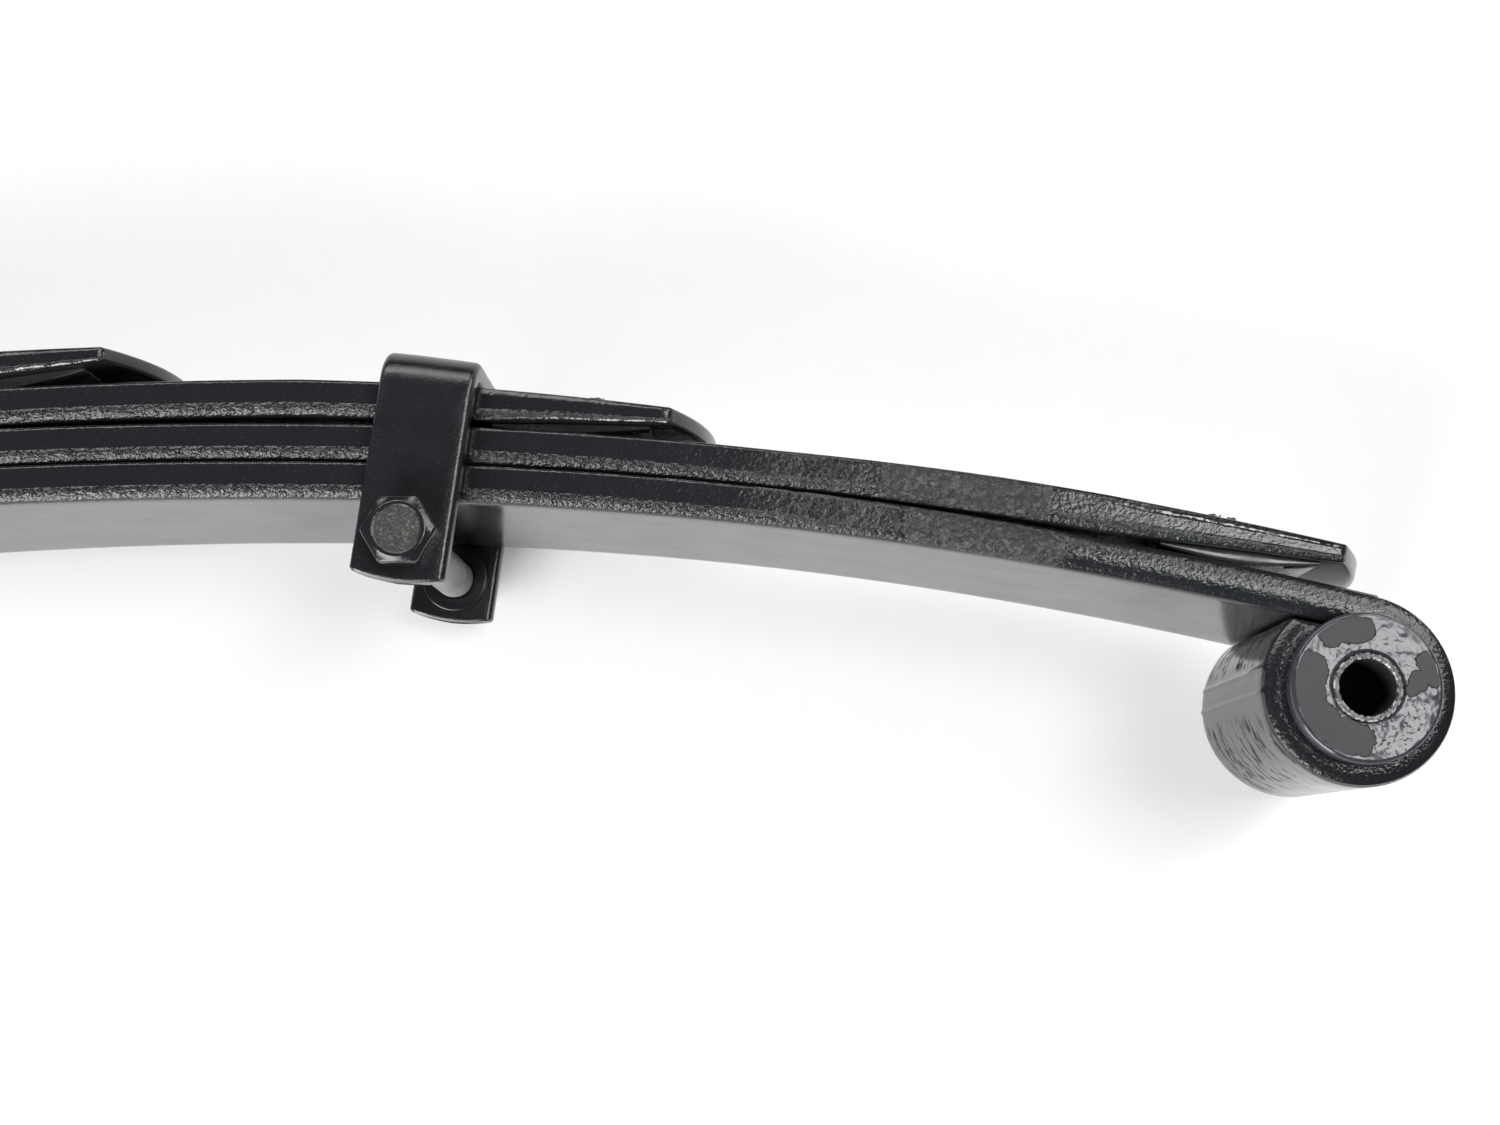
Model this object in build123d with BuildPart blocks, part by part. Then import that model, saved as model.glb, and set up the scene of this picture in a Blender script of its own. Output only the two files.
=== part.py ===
from build123d import *
import os
from math import cos, degrees, radians, sin, tan

# Multi-leaf automotive spring, lying on its side, millimetres.
# Origin: centre of the axle seat, where the centre bolt leaves the shortest leaf.
# +X runs along the spring to the front eye, +Y out of the axle seat (towards the
# short leaves), +Z along the eye bolts. The long leaf curls towards -Y at both ends.
# A place on the spring is a station s (length along the inner face of the main leaf)
# and a height n above that face, towards the short leaves.

# ---- leaf stack -------------------------------------------------------------
WIDTH = 63.5                 # leaf width, along Z
THICK = 8.4                  # leaf thickness
GAP = 0.1                    # between leaves that lie on each other
LAYER = THICK + GAP
STACK = 3 * LAYER + THICK    # seat face to the inner face of the main leaf
EDGE_ROUND = 2.5             # rolled edge of the main leaf
SHORT_EDGE_ROUND = 1.2       # edge of the shorter leaves, which thin down at the tips
LONG_EDGE = 12.0             # edges longer than this run along a leaf and are rounded

# Inner face of the main leaf: flat seat, then tangent arcs (end station, radius).
SEAT_HALF = 40.0
LEAF_ARCS = [(300.0, 1230.0), (430.0, 950.0), (512.0, 1175.0)]
MAIN_END = LEAF_ARCS[-1][0]  # where the eye roll starts

# ---- leaf tips --------------------------------------------------------------
TAPER = 50.0                 # length over which a short leaf thins down
TIP_RISE = 9.0               # how far the middle of a rounded tip passes its corners
TIP_RADIUS = ((WIDTH / 2) ** 2 + TIP_RISE ** 2) / (2 * TIP_RISE)

# The short leaves: the station of the tip's corners, the lower face as (station,
# height) points, and the heights of both faces at the thinned tip.
LEAVES = {
    "second": {
        "tip": 502.5,
        "low": [(0, LAYER), (SEAT_HALF, LAYER), (300, LAYER), (380, LAYER), (430, 9.3), (452.5, 9.4)],
        "tip_low": 13.3,
        "tip_high": 17.5,
        "button_top": 7.8,
    },
    "third": {
        "tip": 356.0,
        "low": [(0, 2 * LAYER), (SEAT_HALF, 2 * LAYER), (150, 2 * LAYER), (277, 18.4), (306, 17.9)],
        "tip_low": 20.4,
        "tip_high": 24.2,
        "button_top": 7.8,
    },
    "fourth": {
        "tip": 232.5,
        "low": [(0, 3 * LAYER), (SEAT_HALF, 3 * LAYER), (90, 3 * LAYER), (182.5, 25.95)],
        "tip_low": 31.2,
        "tip_high": 34.7,
        "button_top": 6.4,
    },
}
BELOW = {"second": None, "third": "second", "fourth": "third"}

# ---- eye, bushes and sleeve -------------------------------------------------
EYE_R = 21.15                # outside of the rolled eye
EYE_BORE_R = EYE_R - THICK
ROLL_GAP = 0.45              # end of the roll to the underside of the leaf
ROLL_END_ANGLE = 35.0        # where the thin inner lip of the roll is cut off
BUSH_R = EYE_BORE_R - 0.1
BUSH_BORE_R = 7.35
BUSH_SPLIT = 0.2             # half the gap between the two half bushes
FLANGE_R = 16.1
FLANGE_FACE = 36.9           # outer face of the bush flange, from mid-width
FLANGE_SEAT = WIDTH / 2 + 0.1
FLANGE_ROUND = 0.8
SLEEVE_R = 7.3
SLEEVE_BORE_R = 6.1
SLEEVE_HALF = 37.3
SLEEVE_CHAMFER = 0.4

# ---- rebound clip -----------------------------------------------------------
CLIP_S = 302.0               # clip bolt, station along the leaf
CLIP_DEPTH = 8.2             # clip bolt axis below the inner face
CLIP_TILT = 5.5              # the clip leans this far past square, degrees
STRAP_W = 20.8
STRAP_T = 5.0
STRAP_IN = WIDTH / 2 + 0.6   # inside of each leg, from mid-width
STRAP_OUT = STRAP_IN + STRAP_T
STRAP_BEND = 7.6             # outside bend radius
STRAP_FOOT = 10.6            # bolt axis to the end of the legs at mid-strap
STRAP_FOOT_R = 42.0          # curve of the leg ends
BASE_LIFT = 35.9             # bolt axis to the underside of the strap base
LEG_BLANK = 60.0             # leg length before its end is cut round

# ---- fasteners --------------------------------------------------------------
BOLT_R = 4.7
BOLT_HOLE_R = 4.95
BOLT_END = 2.5               # thread showing past a clip nut
BOLT_END_CHAMFER = 0.8
HEX_AF = 14.3                # across flats
HEAD_H = 6.2
NUT_H = 8.0
NUT_BORE_R = BOLT_R + 0.05
HEX_CHAMFER = 0.7            # how far down the turned corners reach
HEX_CHAMFER_R = HEX_AF / 2 - 0.2
HEX_CHAMFER_ANGLE = 60.0
WASHER_R = 8.0
WASHER_T = 1.4
RIVET_R = 4.0
RIVET_HOLE_R = RIVET_R + 0.15
RIVET_LENGTH = 14.0          # shank under the head: the strap and most of the third leaf
RIVET_HEAD_R = 7.0
RIVET_HEAD_H = 3.2
RIVET_HEAD_ROUND = 2.8
DOWEL_R = 8.0
DOWEL_H = 9.0
DOWEL_CHAMFER = 1.0
CENTRE_HOLE_R = 5.0
CENTRE_BOLT_END = 4.0        # thread showing past the centre nut

# ---- tip liners -------------------------------------------------------------
LINER_BACK = 20.5            # button centre, back from the tip corner
LINER_HALF = 17.0            # half the length of the pad
LINER_W = 58.0
LINER_EDGE_T = 0.7
LINER_UNDER = 0.1            # pad to the leaf that it hangs from
LINER_CLEAR = 0.5            # pad to the leaf below, at its middle
BUTTON_R = 4.3
BUTTON_HOLE_R = 4.7
BUTTON_ROOT = 1.0            # how far the button reaches into the pad
BUTTON_SLOT = 1.8
BARB_R = 5.2
BARB_LIFT = 0.35             # barbs above the sloping face of the leaf
BARB_FOOT = 0.1              # the shank's overlap with the barbs
BARB_TAPER = 12.0

OVER = 1.0                   # how far a cut runs past the surface


# ---- places on the spring ---------------------------------------------------
def station(s, n=0.0):
    """Point (x, y) at station s and height n, and the downward slope there in degrees."""
    x, y, slope, start = min(s, SEAT_HALF), -STACK, 0.0, SEAT_HALF
    for end, radius in LEAF_ARCS:
        run = min(s, end) - start
        if run <= 0:
            break
        turn = run / radius
        x += radius * (sin(slope + turn) - sin(slope))
        y -= radius * (cos(slope) - cos(slope + turn))
        slope += turn
        start = end
    straight = max(s - MAIN_END, 0)
    x += straight * cos(slope)
    y -= straight * sin(slope)
    return (x + n * sin(slope), y + n * cos(slope)), degrees(slope)


def point(s, n=0.0):
    return station(s, n)[0]


def normal_plane(s, n):
    """Plane on the leaf at (s, n): local x along the leaf, local y across it, normal outwards."""
    (x, y), slope = station(s, n)
    turn = radians(slope)
    return Plane(origin=(x, y, 0), x_dir=(cos(turn), -sin(turn), 0), z_dir=(sin(turn), cos(turn), 0))


def mirrored(plane):
    """The same plane on the rear half of the spring."""
    return Plane(
        origin=(-plane.origin.X, plane.origin.Y, plane.origin.Z),
        x_dir=(-plane.x_dir.X, plane.x_dir.Y, 0),
        z_dir=(-plane.z_dir.X, plane.z_dir.Y, 0),
    )


def handed(plane, side):
    return plane if side > 0 else mirrored(plane)


def both_ends(plane):
    return [plane, mirrored(plane)]


def height(line, s):
    """Height of a leaf line at station s."""
    for (s0, n0), (s1, n1) in zip(line, line[1:]):
        if s0 <= s <= s1:
            return n0 + (n1 - n0) * (s - s0) / (s1 - s0)
    return line[-1][1]


def high_line(leaf):
    return [(s, n + THICK) for s, n in leaf["low"]]


def tip_heights(leaf, s):
    """Lower and upper height of a short leaf inside its taper."""
    s0, n0 = leaf["low"][-1]
    part = (s - s0) / TAPER
    low = n0 + (leaf["tip_low"] - n0) * part
    high = n0 + THICK + (leaf["tip_high"] - n0 - THICK) * part
    return low, high


def clip_axes(side=1):
    """Centre of a clip bolt, and the unit vectors across the strap and up its legs."""
    (x, y), slope = station(CLIP_S, -CLIP_DEPTH)
    lean = radians(slope + CLIP_TILT)
    return (side * x, y, 0), (side * cos(lean), -sin(lean), 0), (side * sin(lean), cos(lean), 0)


def rivet_plane(side=1):
    """Plane on the underside of a strap base, facing away from the leaves."""
    centre, across, up = clip_axes(side)
    origin = tuple(c + BASE_LIFT * u for c, u in zip(centre, up))
    return Plane(origin=origin, x_dir=across, z_dir=up)


# ---- shared outlines and solids ---------------------------------------------
def draw(line):
    """Arcs and straight runs through (station, height) pairs; used inside a BuildLine."""
    for (s0, n0), (s1, n1) in zip(line, line[1:]):
        start, end = point(s0, n0), point(s1, n1)
        if max(s0, s1) <= SEAT_HALF:
            Line(start, end)
        else:
            ThreePointArc(start, point((s0 + s1) / 2, (n0 + n1) / 2), end)


def side_rims(leaf_builder):
    """The long edges of both side faces of a leaf."""
    side_faces = leaf_builder.faces().filter_by(Axis.Z)
    return [edge for face in side_faces for edge in face.edges() if edge.length > LONG_EDGE]


def hexagon(plane, tall, bore=0.0):
    """Hexagon head or nut standing on a plane, its outer corners turned down."""
    with BuildPart() as prism:
        with BuildSketch(plane):
            RegularPolygon(radius=HEX_AF / 2, side_count=6, major_radius=False)
            if bore:
                Circle(bore, mode=Mode.SUBTRACT)
        extrude(amount=tall)
        with BuildSketch(plane.offset(tall)):
            Circle(HEX_AF)
            Circle(HEX_CHAMFER_R, mode=Mode.SUBTRACT)
        extrude(amount=-HEX_CHAMFER, taper=HEX_CHAMFER_ANGLE, mode=Mode.SUBTRACT)
    return prism.part


def finish(part, name):
    part.label = name
    export_step(part, f"parts/{name}.step")


# ---- leaves -----------------------------------------------------------------
def main_leaf():
    """The longest leaf: an arched bar whose ends roll inwards into the eyes."""
    stations = [0.0, SEAT_HALF] + [end for end, _ in LEAF_ARCS]
    end_slope = radians(station(MAIN_END)[1])
    eye_plane = Plane(
        origin=(*point(MAIN_END, -EYE_BORE_R), 0),
        x_dir=(cos(end_slope), -sin(end_slope), 0),
        z_dir=(0, 0, 1),
    )
    far = 2 * EYE_R
    lip = EYE_BORE_R - ROLL_GAP
    with BuildPart() as leaf:
        with BuildSketch(Plane.XY):
            with BuildLine():
                draw([(s, 0.0) for s in stations])
                Line(point(MAIN_END, 0.0), point(MAIN_END, THICK))
                draw([(s, THICK) for s in reversed(stations)])
                Line(point(0.0, THICK), point(0.0, 0.0))
            make_face()
            mirror(about=Plane.YZ)
        extrude(amount=WIDTH / 2, both=True)
        with BuildSketch(eye_plane) as roll:
            Circle(EYE_R)
            Circle(EYE_BORE_R, mode=Mode.SUBTRACT)
            Polygon(
                (0, 0), (0, far), (-far, far), (-far, lip), (-lip * tan(radians(ROLL_END_ANGLE)), lip),
                align=None, mode=Mode.SUBTRACT,
            )
        extrude(amount=WIDTH / 2, both=True)
        with BuildSketch(Plane.XY):
            add(mirror(roll.sketch, about=Plane.YZ))
        extrude(amount=WIDTH / 2, both=True)
        fillet(side_rims(leaf), radius=EDGE_ROUND)
        with BuildSketch(normal_plane(0, -OVER)):
            Circle(CENTRE_HOLE_R)
        extrude(amount=THICK + 2 * OVER, mode=Mode.SUBTRACT)
    finish(leaf.part, "main_leaf")


def short_leaf(name):
    """A leaf that ends in thinned, rounded tips with a hole for each tip liner's button."""
    shape = LEAVES[name]
    low, high = shape["low"], high_line(shape)
    end = shape["tip"] + TIP_RISE + OVER
    end_low, end_high = tip_heights(shape, end)
    button_s = shape["tip"] - LINER_BACK
    with BuildPart() as leaf:
        with BuildSketch(Plane.XY):
            with BuildLine():
                draw(low + [(end, end_low)])
                Line(point(end, end_low), point(end, end_high))
                draw([(end, end_high)] + high[::-1])
                Line(point(*high[0]), point(*low[0]))
            make_face()
            mirror(about=Plane.YZ)
        extrude(amount=WIDTH / 2, both=True)
        fillet(side_rims(leaf), radius=SHORT_EDGE_ROUND)
        for plane in both_ends(normal_plane(shape["tip"], low[-1][1])):
            with BuildSketch(plane):
                with Locations((WIDTH / 2, 0)):
                    Rectangle(WIDTH, WIDTH + 2 * OVER)
                with Locations((TIP_RISE - TIP_RADIUS, 0)):
                    Circle(TIP_RADIUS, mode=Mode.SUBTRACT)
            extrude(amount=3 * THICK, both=True, mode=Mode.SUBTRACT)
        with BuildSketch(normal_plane(0, low[0][1] - OVER)):
            Circle(CENTRE_HOLE_R)
        extrude(amount=THICK + 2 * OVER, mode=Mode.SUBTRACT)
        for plane in both_ends(normal_plane(button_s, low[-1][1] - OVER)):
            with BuildSketch(plane):
                Circle(BUTTON_HOLE_R)
            extrude(amount=2 * THICK, mode=Mode.SUBTRACT)
        if name == "third":
            for plane in both_ends(rivet_plane()):
                with BuildSketch(plane):
                    Circle(RIVET_HOLE_R)
                extrude(amount=2 * THICK, both=True, mode=Mode.SUBTRACT)
    finish(leaf.part, f"{name}_leaf")


def tip_liner(name, end_name, side):
    """Pad under a leaf tip, with a slotted button that snaps through the leaf's hole."""
    leaf = LEAVES[name]
    middle = leaf["tip"] - LINER_BACK
    first, last = middle - LINER_HALF, middle + LINER_HALF
    lower_face = height(high_line(LEAVES[BELOW[name]]), middle) if BELOW[name] else THICK
    first_low = tip_heights(leaf, first)[0] - LINER_UNDER
    last_low = tip_heights(leaf, last)[0] - LINER_UNDER
    mid_low, mid_high = tip_heights(leaf, middle)
    button = handed(normal_plane(middle, mid_low - BUTTON_ROOT), side)
    top = mid_high - mid_low + BUTTON_ROOT
    with BuildPart() as liner:
        with BuildSketch(Plane.XY):
            with BuildLine():
                Line(point(first, first_low - LINER_EDGE_T), point(first, first_low))
                draw([(first, first_low), (last, last_low)])
                Line(point(last, last_low), point(last, last_low - LINER_EDGE_T))
                ThreePointArc(
                    point(last, last_low - LINER_EDGE_T),
                    point(middle, lower_face + LINER_CLEAR),
                    point(first, first_low - LINER_EDGE_T),
                )
            make_face()
            if side < 0:
                mirror(about=Plane.YZ, mode=Mode.REPLACE)
        extrude(amount=LINER_W / 2, both=True)
        with BuildSketch(button):
            Circle(BUTTON_R)
        extrude(amount=top + BARB_LIFT + BARB_FOOT)
        with BuildSketch(button.offset(top + BARB_LIFT)):
            Circle(BARB_R)
        extrude(amount=leaf["button_top"], taper=BARB_TAPER)
        with BuildSketch(button.offset(top - OVER)):
            Rectangle(BUTTON_SLOT, 3 * BARB_R)
        extrude(amount=leaf["button_top"] + 2 * OVER, mode=Mode.SUBTRACT)
    finish(liner.part, f"{name}_leaf_{end_name}_liner")


# ---- centre bolt ------------------------------------------------------------
def centre_fasteners():
    """The bolt that pins the stack; its round head locates the spring on the axle."""
    dowel_plane = Plane(origin=(0, 0, 0), x_dir=(1, 0, 0), z_dir=(0, 1, 0))
    nut_plane = Plane(origin=(0, -STACK, 0), x_dir=(1, 0, 0), z_dir=(0, -1, 0))
    with BuildPart() as bolt:
        with BuildSketch(dowel_plane):
            Circle(DOWEL_R)
        extrude(amount=DOWEL_H)
        chamfer(bolt.faces().sort_by(Axis.Y)[-1].edges(), length=DOWEL_CHAMFER)
        with BuildSketch(dowel_plane):
            Circle(BOLT_R)
        extrude(amount=-(STACK + NUT_H + CENTRE_BOLT_END))
    finish(bolt.part, "centre_bolt")
    finish(hexagon(nut_plane, NUT_H, bore=NUT_BORE_R), "centre_nut")


# ---- eye bushes and sleeves -------------------------------------------------
def half_bush(end_name, side, half_name, up):
    """Rubber half bush: a barrel inside the eye and a flange against its side."""
    eye_x, eye_y = point(MAIN_END, -EYE_BORE_R)
    split = Plane(origin=(side * eye_x, eye_y, up * BUSH_SPLIT), z_dir=(0, 0, up))
    barrel = FLANGE_SEAT - BUSH_SPLIT
    with BuildPart() as bush:
        with BuildSketch(split):
            Circle(BUSH_R)
        extrude(amount=barrel)
        with BuildSketch(split.offset(barrel)):
            Circle(FLANGE_R)
        extrude(amount=FLANGE_FACE - FLANGE_SEAT)
        circles = bush.edges().filter_by(GeomType.CIRCLE)
        fillet(circles.filter_by(lambda edge: edge.radius > BUSH_R), radius=FLANGE_ROUND)
        with BuildSketch(split):
            Circle(BUSH_BORE_R)
        extrude(amount=FLANGE_FACE, mode=Mode.SUBTRACT)
    finish(bush.part, f"{end_name}_bush_{half_name}")


def eye_sleeve(end_name, side):
    """Steel tube through both half bushes, for the eye bolt."""
    eye_x, eye_y = point(MAIN_END, -EYE_BORE_R)
    with BuildPart() as sleeve:
        with BuildSketch(Plane(origin=(side * eye_x, eye_y, 0), z_dir=(0, 0, 1))):
            Circle(SLEEVE_R)
            Circle(SLEEVE_BORE_R, mode=Mode.SUBTRACT)
        extrude(amount=SLEEVE_HALF, both=True)
        circles = sleeve.edges().filter_by(GeomType.CIRCLE)
        chamfer(circles.filter_by(lambda edge: edge.radius > SLEEVE_BORE_R), length=SLEEVE_CHAMFER)
    finish(sleeve.part, f"{end_name}_eye_sleeve")


# ---- rebound clips ----------------------------------------------------------
def clip_strap(end_name, side):
    """U strap over the leaves, riveted to the third leaf and closed by the clip bolt."""
    centre, across, _ = clip_axes(side)
    profile_plane = Plane(origin=centre, x_dir=(0, 0, 1), z_dir=tuple(-side * a for a in across))
    leg_plane = Plane(origin=centre, x_dir=across, z_dir=(0, 0, side))
    with BuildPart() as strap:
        with BuildSketch(profile_plane):
            with Locations((0, BASE_LIFT + STRAP_T)):
                RectangleRounded(2 * STRAP_OUT, LEG_BLANK, STRAP_BEND, align=(Align.CENTER, Align.MAX))
            with Locations((0, BASE_LIFT)):
                RectangleRounded(
                    2 * STRAP_IN, LEG_BLANK, STRAP_BEND - STRAP_T,
                    align=(Align.CENTER, Align.MAX), mode=Mode.SUBTRACT,
                )
        extrude(amount=STRAP_W / 2, both=True)
        with BuildSketch(leg_plane):
            Rectangle(2 * STRAP_W, LEG_BLANK, align=(Align.CENTER, Align.MAX))
            with Locations((0, STRAP_FOOT_R - STRAP_FOOT)):
                Circle(STRAP_FOOT_R, mode=Mode.SUBTRACT)
        extrude(amount=STRAP_OUT + OVER, both=True, mode=Mode.SUBTRACT)
        with BuildSketch(leg_plane):
            Circle(BOLT_HOLE_R)
        extrude(amount=STRAP_OUT + OVER, both=True, mode=Mode.SUBTRACT)
        with BuildSketch(rivet_plane(side)):
            Circle(RIVET_HOLE_R)
        extrude(amount=STRAP_T + OVER, mode=Mode.SUBTRACT)
    finish(strap.part, f"{end_name}_clip_strap")


def clip_fasteners(end_name, side):
    """Bolt and nut across the strap's legs, with a washer inside the lower leg."""
    centre, across, _ = clip_axes(side)
    head_plane = Plane(origin=(centre[0], centre[1], STRAP_OUT), x_dir=across, z_dir=(0, 0, 1))
    nut_plane = Plane(origin=(centre[0], centre[1], -STRAP_OUT), x_dir=across, z_dir=(0, 0, -1))
    washer_plane = Plane(origin=(centre[0], centre[1], -STRAP_IN), z_dir=(0, 0, 1))
    head = hexagon(head_plane, HEAD_H)
    with BuildPart() as bolt:
        add(head)
        with BuildSketch(head_plane):
            Circle(BOLT_R)
        extrude(amount=-(2 * STRAP_OUT + NUT_H + BOLT_END))
        chamfer(bolt.faces().sort_by(Axis.Z)[0].edges(), length=BOLT_END_CHAMFER)
    finish(bolt.part, f"{end_name}_clip_bolt")
    finish(hexagon(nut_plane, NUT_H, bore=NUT_BORE_R), f"{end_name}_clip_nut")
    with BuildPart() as washer:
        with BuildSketch(washer_plane):
            Circle(WASHER_R)
            Circle(BOLT_HOLE_R, mode=Mode.SUBTRACT)
        extrude(amount=WASHER_T)
    finish(washer.part, f"{end_name}_clip_washer")


def clip_rivet(end_name, side):
    """Rivet that holds the strap base to the third leaf."""
    seat = rivet_plane(side).offset(STRAP_T)
    with BuildPart() as rivet:
        with BuildSketch(seat):
            Circle(RIVET_HEAD_R)
        extrude(amount=RIVET_HEAD_H)
        crown = rivet.edges().filter_by(GeomType.CIRCLE).sort_by(Axis.Y)[-1]
        fillet(crown, radius=RIVET_HEAD_ROUND)
        with BuildSketch(seat):
            Circle(RIVET_R)
        extrude(amount=-RIVET_LENGTH)
    finish(rivet.part, f"{end_name}_clip_rivet")


# ---- the whole spring -------------------------------------------------------
os.makedirs("parts", exist_ok=True)
main_leaf()
centre_fasteners()
for leaf_name in LEAVES:
    short_leaf(leaf_name)
for end_name, side in (("front", 1), ("rear", -1)):
    half_bush(end_name, side, "upper", 1)
    half_bush(end_name, side, "lower", -1)
    eye_sleeve(end_name, side)
    clip_strap(end_name, side)
    clip_fasteners(end_name, side)
    clip_rivet(end_name, side)
    for leaf_name in LEAVES:
        tip_liner(leaf_name, end_name, side)
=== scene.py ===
import math
import bmesh
import bpy
import numpy as np
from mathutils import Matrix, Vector, noise


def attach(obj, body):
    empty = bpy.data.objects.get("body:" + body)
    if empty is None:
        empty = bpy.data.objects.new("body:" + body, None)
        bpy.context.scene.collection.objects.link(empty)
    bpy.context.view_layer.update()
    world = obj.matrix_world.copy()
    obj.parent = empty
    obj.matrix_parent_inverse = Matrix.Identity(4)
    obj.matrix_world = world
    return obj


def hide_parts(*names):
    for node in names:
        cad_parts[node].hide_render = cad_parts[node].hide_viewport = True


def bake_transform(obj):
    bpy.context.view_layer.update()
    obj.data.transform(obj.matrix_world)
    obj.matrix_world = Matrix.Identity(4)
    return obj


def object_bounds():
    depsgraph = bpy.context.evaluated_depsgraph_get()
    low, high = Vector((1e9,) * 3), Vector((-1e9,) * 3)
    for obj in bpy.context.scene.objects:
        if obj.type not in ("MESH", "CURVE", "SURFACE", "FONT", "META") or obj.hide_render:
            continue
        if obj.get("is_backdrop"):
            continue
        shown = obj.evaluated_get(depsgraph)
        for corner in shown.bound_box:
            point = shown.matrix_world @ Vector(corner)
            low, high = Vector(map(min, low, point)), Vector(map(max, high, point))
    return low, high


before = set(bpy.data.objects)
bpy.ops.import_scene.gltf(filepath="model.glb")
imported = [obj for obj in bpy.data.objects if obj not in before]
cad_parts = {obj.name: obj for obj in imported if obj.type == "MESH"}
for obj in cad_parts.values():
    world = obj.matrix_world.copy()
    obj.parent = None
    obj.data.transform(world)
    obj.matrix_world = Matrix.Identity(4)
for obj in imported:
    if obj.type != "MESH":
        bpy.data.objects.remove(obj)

cad_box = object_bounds()

# Multi-leaf spring lying on its side. Shapes are worked out in millimetres in the CAD
# frame and scaled to metres when a mesh is made.
MM = 0.001

# ---- sizes shared with the CAD model, millimetres -----------------------------
WIDTH = 63.5
HALF_W = WIDTH / 2
THICK = 8.4
LAYER = 8.5
STACK = 3 * LAYER + THICK
SEAT_HALF = 40.0
LEAF_ARCS = [(300.0, 1230.0), (430.0, 950.0), (512.0, 1175.0)]
MAIN_END = 512.0
TAPER = 50.0
TIP_RISE = 9.0
TIP_RADIUS = (HALF_W ** 2 + TIP_RISE ** 2) / (2 * TIP_RISE)
LEAVES = {
    "second": {
        "tip": 502.5,
        "low": [(0, LAYER), (SEAT_HALF, LAYER), (300, LAYER), (380, LAYER), (430, 9.3), (452.5, 9.4)],
        "tip_low": 13.3,
        "tip_high": 17.5,
        "button_top": 7.8,
    },
    "third": {
        "tip": 356.0,
        "low": [(0, 2 * LAYER), (SEAT_HALF, 2 * LAYER), (150, 2 * LAYER), (277, 18.4), (306, 17.9)],
        "tip_low": 20.4,
        "tip_high": 24.2,
        "button_top": 7.8,
    },
    "fourth": {
        "tip": 232.5,
        "low": [(0, 3 * LAYER), (SEAT_HALF, 3 * LAYER), (90, 3 * LAYER), (182.5, 25.95)],
        "tip_low": 31.2,
        "tip_high": 34.7,
        "button_top": 6.4,
    },
}
BELOW = {"second": None, "third": "second", "fourth": "third"}
EYE_BORE_R = 12.75
EYE_R = EYE_BORE_R + THICK
ROLL_LIP = 12.3
ROLL_END = 325.0
CLIP_S = 302.0
CLIP_DEPTH = 8.2
CLIP_TILT = 5.5
STRAP_W = 20.8
STRAP_T = 5.0
STRAP_IN = HALF_W + 0.6
STRAP_OUT = STRAP_IN + STRAP_T
STRAP_BEND = 7.6
STRAP_FOOT = 10.6
STRAP_FOOT_R = 42.0
BASE_LIFT = 35.9
LINER_BACK = 20.5
LINER_HALF = 17.0
LINER_W = 58.0

# Where the halves bend: blend zones as stations, and the station where leaves are split.
ROOT_BEND = (25.0, 195.0)
TIP_BEND = (355.0, 465.0)
SPLIT_S = CLIP_S


# ---- places on the spring -----------------------------------------------------
def station(s):
    """Point on the inner face of the main leaf at length s, and the downward slope there."""
    x, y, slope, start = min(s, SEAT_HALF), -STACK, 0.0, SEAT_HALF
    for end, radius in LEAF_ARCS:
        run = min(s, end) - start
        if run <= 0:
            break
        turn = run / radius
        x += radius * (math.sin(slope + turn) - math.sin(slope))
        y -= radius * (math.cos(slope) - math.cos(slope + turn))
        slope += turn
        start = end
    straight = max(s - MAIN_END, 0.0)
    return x + straight * math.cos(slope), y - straight * math.sin(slope), slope


def point(s, n, z=0.0, side=1):
    x, y, slope = station(s)
    return side * (x + n * math.sin(slope)), y + n * math.cos(slope), z


def metres(p):
    return tuple(MM * c for c in p)


def height(line, s):
    return float(np.interp(s, [p[0] for p in line], [p[1] for p in line]))


def leaf_heights(name, s):
    """Lower and upper height of a leaf at station s."""
    if name == "main":
        return 0.0, THICK
    shape = LEAVES[name]
    low = shape["low"] + [(shape["tip"], shape["tip_low"])]
    high = [(a, b + THICK) for a, b in shape["low"]] + [(shape["tip"], shape["tip_high"])]
    past = max(s - shape["tip"], 0.0)
    drift = past / TAPER
    low_rate = shape["tip_low"] - shape["low"][-1][1]
    high_rate = shape["tip_high"] - shape["low"][-1][1] - THICK
    return height(low, s) + drift * low_rate, height(high, s) + drift * high_rate


def smooth(a, b, value):
    """0 below a, 1 above b, and a smooth step between."""
    t = min(max((value - a) / (b - a), 0.0), 1.0)
    return t * t * (3 - 2 * t)


def rough(p, scale, seed=0.0):
    """Smooth noise from -1 to 1 at a point, with features about scale millimetres wide."""
    return noise.noise(Vector(p) / scale + Vector((seed, -seed, 0.5 * seed)))


# ---- meshes -------------------------------------------------------------------
SHARP_ANGLE = math.radians(35.0)


def make_mesh(name, points, faces, material, values=None, vectors=None):
    """Object from millimetre points; values and vectors are named per-point attributes."""
    mesh = bpy.data.meshes.new(name)
    mesh.from_pydata([metres(p) for p in points], [], faces)
    mesh.validate()
    mesh.shade_smooth()
    mesh.set_sharp_from_angle(angle=SHARP_ANGLE)
    for key, data in (values or {}).items():
        layer = mesh.attributes.new(key, "FLOAT", "POINT")
        layer.data.foreach_set("value", np.array(data, np.float32))
    for key, data in (vectors or {}).items():
        layer = mesh.attributes.new(key, "FLOAT_VECTOR", "POINT")
        layer.data.foreach_set("vector", (np.array(data, np.float32) * MM).ravel())
    mesh.materials.append(material)
    piece = bpy.data.objects.new(name, mesh)
    bpy.context.scene.collection.objects.link(piece)
    return piece


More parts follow.
